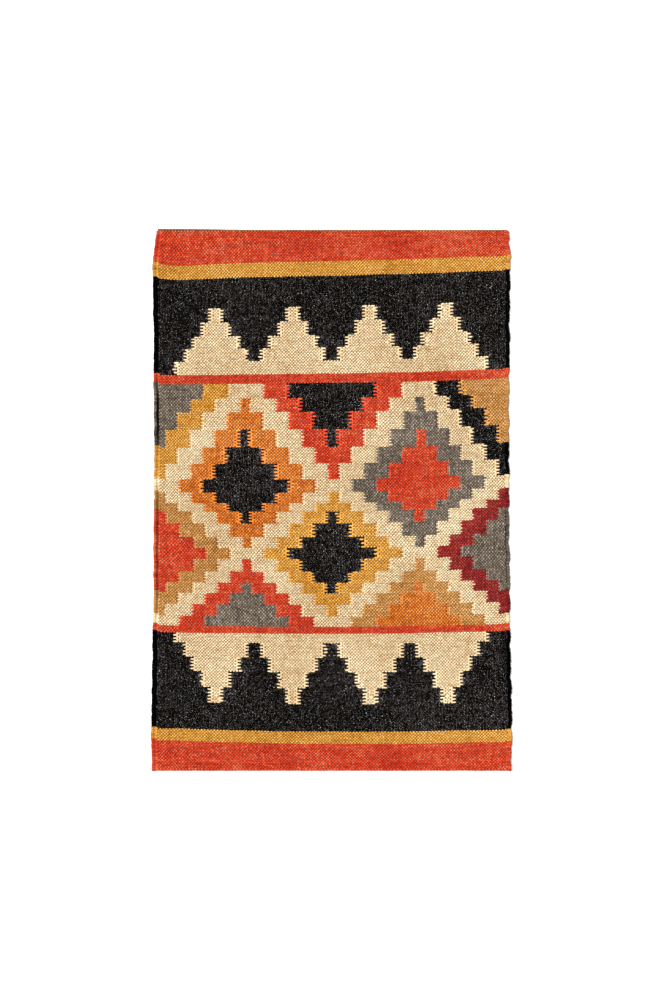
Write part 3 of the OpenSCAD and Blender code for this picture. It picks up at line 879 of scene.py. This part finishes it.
class RUG_OT_headings(bpy.types.Operator):
    """Weaves the jute headings, folded round the ends and turned under"""

    bl_idname = "rug.headings"
    bl_label = "Turned-under headings"

    def execute(self, context):
        c = chart()
        sizes = bpy.context.scene.rug_sizes
        for end, node in ((1, "hem_top"), (-1, "hem_bottom")):
            low, high = BOX[node]
            flap_in = low.y if end > 0 else -high.y
            # The fold from its upper edge round the outside and back under, as places along the
            # rug and heights; at the bottom end it starts lower, under the last row
            start = 4.9 if end > 0 else 2.9
            fold = [(-1.9, start), (-1.2, start - 0.9), (-1.1, 2.3), (-1.7, 1.45), (-3.2, 1.15)]
            fold = [(HALF_L + y * MM, z * MM) for y, z in fold]
            fold = np.array([*fold, (flap_in + 0.8 * MM, 1.15 * MM)])
            steps = np.concatenate([[0], np.cumsum(np.hypot(*np.diff(fold, axis=0).T))])
            rows = round(steps[-1] / sizes.heading_pitch)
            at = np.linspace(0, steps[-1], rows)
            strands = Strands()
            k = np.arange(2 * c.warps + 1)
            x = np.clip(c.half_x, -HALF_W + 4 * MM, HALF_W - 4 * MM)
            x = x * (HALF_W - 2.5 * MM) / x.max()
            draw = np.random.default_rng(SEED + 20 + end)
            for j, s in enumerate(at):
                y, z = np.interp(s, steps, fold[:, 0]), np.interp(s, steps, fold[:, 1])
                ahead = min(s + 0.4 * MM, steps[-1])
                behind = max(s - 0.4 * MM, 0)
                dy = np.interp(ahead, steps, fold[:, 0]) - np.interp(behind, steps, fold[:, 0])
                dz = np.interp(ahead, steps, fold[:, 1]) - np.interp(behind, steps, fold[:, 1])
                across = unit(np.array([0.0, dy, end * dz]))
                up = np.cross((1.0, 0.0, 0.0), across)
                odd = k % 2 == 1
                over = np.where((k // 2 + j) % 2 == 0, 1.0, -1.0)
                h = np.where(odd, over * 0.5 * MM, 0) + FLOAT_RISE * draw.normal(size=len(k))
                # The fold of the top end shows past the cloth at its left
                shown = (end > 0 and s < 8 * MM) * 1.6 * MM * smooth(-0.8 - 2 * x / HALF_W)
                centre = np.stack([x, end * y + shown, np.full(len(k), z)], axis=1)
                centre = centre + h[:, None] * up
                wide = np.where(odd, 1.45, 0.75) * sizes.heading_pitch
                deep = np.where(odd, 1.1, 0.8) * MM
                # Painted shade: the crossings between the warps are painted a little darker than the floats
                tone = np.stack([np.full(len(k), draw.random()), np.where(odd, 1.0, 0.6),
                                 np.full(len(k), 0.5)], axis=1)
                strands.add(centre, across, wide, deep, x, tone, j)
            name = node + "_jute"
            piece = place_piece(strands.mesh(name), name, "jute_yarn", [node])
        return {"FINISHED"}


class RUG_OT_stitches(bpy.types.Operator):
    """Sews the headings down with slanted whip stitches underneath"""

    bl_idname = "rug.stitches"
    bl_label = "Hem stitches"

    def execute(self, context):
        sizes = bpy.context.scene.rug_sizes
        for end, node in ((1, "hem_stitches_top"), (-1, "hem_stitches_bottom")):
            hem_low, hem_high = BOX["hem_top" if end > 0 else "hem_bottom"]
            edge = hem_low.y if end > 0 else -hem_high.y
            count = int((HALF_W - sizes.selvedge_w) * 2 / sizes.stitch_pitch)
            draw = np.random.default_rng(SEED + 40 + end)
            strands = Strands()
            # From the cloth, down over the flap's edge and into the flap
            arc = np.array([(0.0, -2.8, 2.3), (0.6, -1.9, 1.1), (1.4, -0.5, 0.42),
                            (2.2, 1.2, 0.38), (2.9, 2.6, 0.45), (3.3, 3.2, 1.1)]) * MM
            for k in range(count):
                x0 = (k - (count - 1) / 2) * sizes.stitch_pitch + 0.5 * MM * draw.normal()
                shape = arc * np.array([1 + 0.15 * draw.normal(), 1 + 0.08 * draw.normal(), 1])
                centre = np.stack([x0 + shape[:, 0], end * (edge + shape[:, 1]), shape[:, 2]],
                                  axis=1)
                run = np.concatenate([[0], np.cumsum(
                    np.linalg.norm(np.diff(centre, axis=0), axis=1))])
                across = (-end * 1.0, 0.0, 0.0)
                strands.add(centre, across, sizes.stitch_d, sizes.stitch_d, run,
                            (draw.random(), 1.0, 0.0), k)
            place_piece(strands.mesh(node + "_thread"), node + "_thread", "sewing_thread", [node])
        return {"FINISHED"}


class RUG_OT_stage(bpy.types.Operator):
    """Sets the pale floor, the soft light and the camera straight above"""

    bl_idname = "rug.stage"
    bl_label = "Floor, light and camera"

    def execute(self, context):
        scene = bpy.context.scene
        scene.view_settings.view_transform = "Standard"
        # Matt white paper sweep, wide enough to pass for endless
        half = 4.0
        mesh = bpy.data.meshes.new("studio_floor")
        mesh.from_pydata([(-half, -half, 0), (half, -half, 0), (half, half, 0), (-half, half, 0)],
                         [], [(0, 1, 2, 3)])
        floor = bpy.data.objects.new("studio_floor", mesh)
        scene.collection.objects.link(floor)
        paper = bpy.data.materials.new("Paper_matt_white")
        paper.use_nodes = True
        shader = paper.node_tree.nodes["Principled BSDF"]
        shader.inputs["Base Color"].default_value = (0.93, 0.93, 0.93, 1)
        shader.inputs["Roughness"].default_value = 1.0
        shader.inputs["Specular IOR Level"].default_value = 0.0
        mesh.materials.append(paper)
        world = bpy.data.worlds.new("studio")
        world.use_nodes = True
        sky = world.node_tree.nodes["Background"].inputs
        sky["Color"].default_value = (1, 1, 1, 1)
        sky["Strength"].default_value = 0.96
        scene.world = world
        # One broad key from the upper left, at about 57 degrees above the floor
        lamp = bpy.data.lights.new("key", "SUN")
        lamp.energy = 3.65
        lamp.angle = math.radians(16)
        key = bpy.data.objects.new("key", lamp)
        key.rotation_euler = Vector((-0.5, 0.25, 0.85)).to_track_quat("Z", "Y").to_euler()
        scene.collection.objects.link(key)
        # A long lens, straight down; the rug lies a hair left of the middle of the frame
        view_length, lens, sensor = 1.689, 120.0, 36.0
        camera = bpy.data.cameras.new("camera")
        camera.lens, camera.sensor_width = lens, sensor
        camera.clip_end = 50
        eye = bpy.data.objects.new("camera", camera)
        eye.location = (0.85 * MM, 0, view_length * lens / sensor)
        scene.collection.objects.link(eye)
        scene.camera = eye
        return {"FINISHED"}


class RUG_PT_panel(bpy.types.Panel):
    """Lists the steps of the rug and its settings"""

    bl_label = "Woven rug"
    bl_idname = "RUG_PT_panel"
    bl_space_type = "VIEW_3D"
    bl_region_type = "UI"
    bl_category = "Rug"

    def draw(self, context):
        layout = self.layout
        for step in STEPS:
            layout.operator(step.bl_idname)
        for group in (context.scene.rug_sizes, context.scene.rug_shape, context.scene.rug_colours):
            box = layout.box()
            for key in group.__annotations__:
                box.prop(group, key)


STEPS = [
    RUG_OT_plain_bands, RUG_OT_peak_bands, RUG_OT_lattice, RUG_OT_diamonds, RUG_OT_warp,
    RUG_OT_edge_cords, RUG_OT_headings, RUG_OT_stitches, RUG_OT_stage,
]
CLASSES = [RugYarnSizes, RugHandShape, RugYarnColours, *STEPS, RUG_PT_panel]


def register():
    """Registers the classes and hangs the settings on the scene."""
    for cls in CLASSES:
        bpy.utils.register_class(cls)
    bpy.types.Scene.rug_sizes = PointerProperty(type=RugYarnSizes)
    bpy.types.Scene.rug_shape = PointerProperty(type=RugHandShape)
    bpy.types.Scene.rug_colours = PointerProperty(type=RugYarnColours)


def unregister():
    """Takes the settings and the classes away again."""
    del bpy.types.Scene.rug_sizes, bpy.types.Scene.rug_shape, bpy.types.Scene.rug_colours
    for cls in reversed(CLASSES):
        bpy.utils.unregister_class(cls)


def main():
    """Builds the rug and its stage."""
    register()
    for step in STEPS:
        area, verb = step.bl_idname.split(".")
        if getattr(getattr(bpy.ops, area), verb)() != {"FINISHED"}:
            raise RuntimeError(f"{step.bl_label} did not finish")


if __name__ == "__main__":
    main()
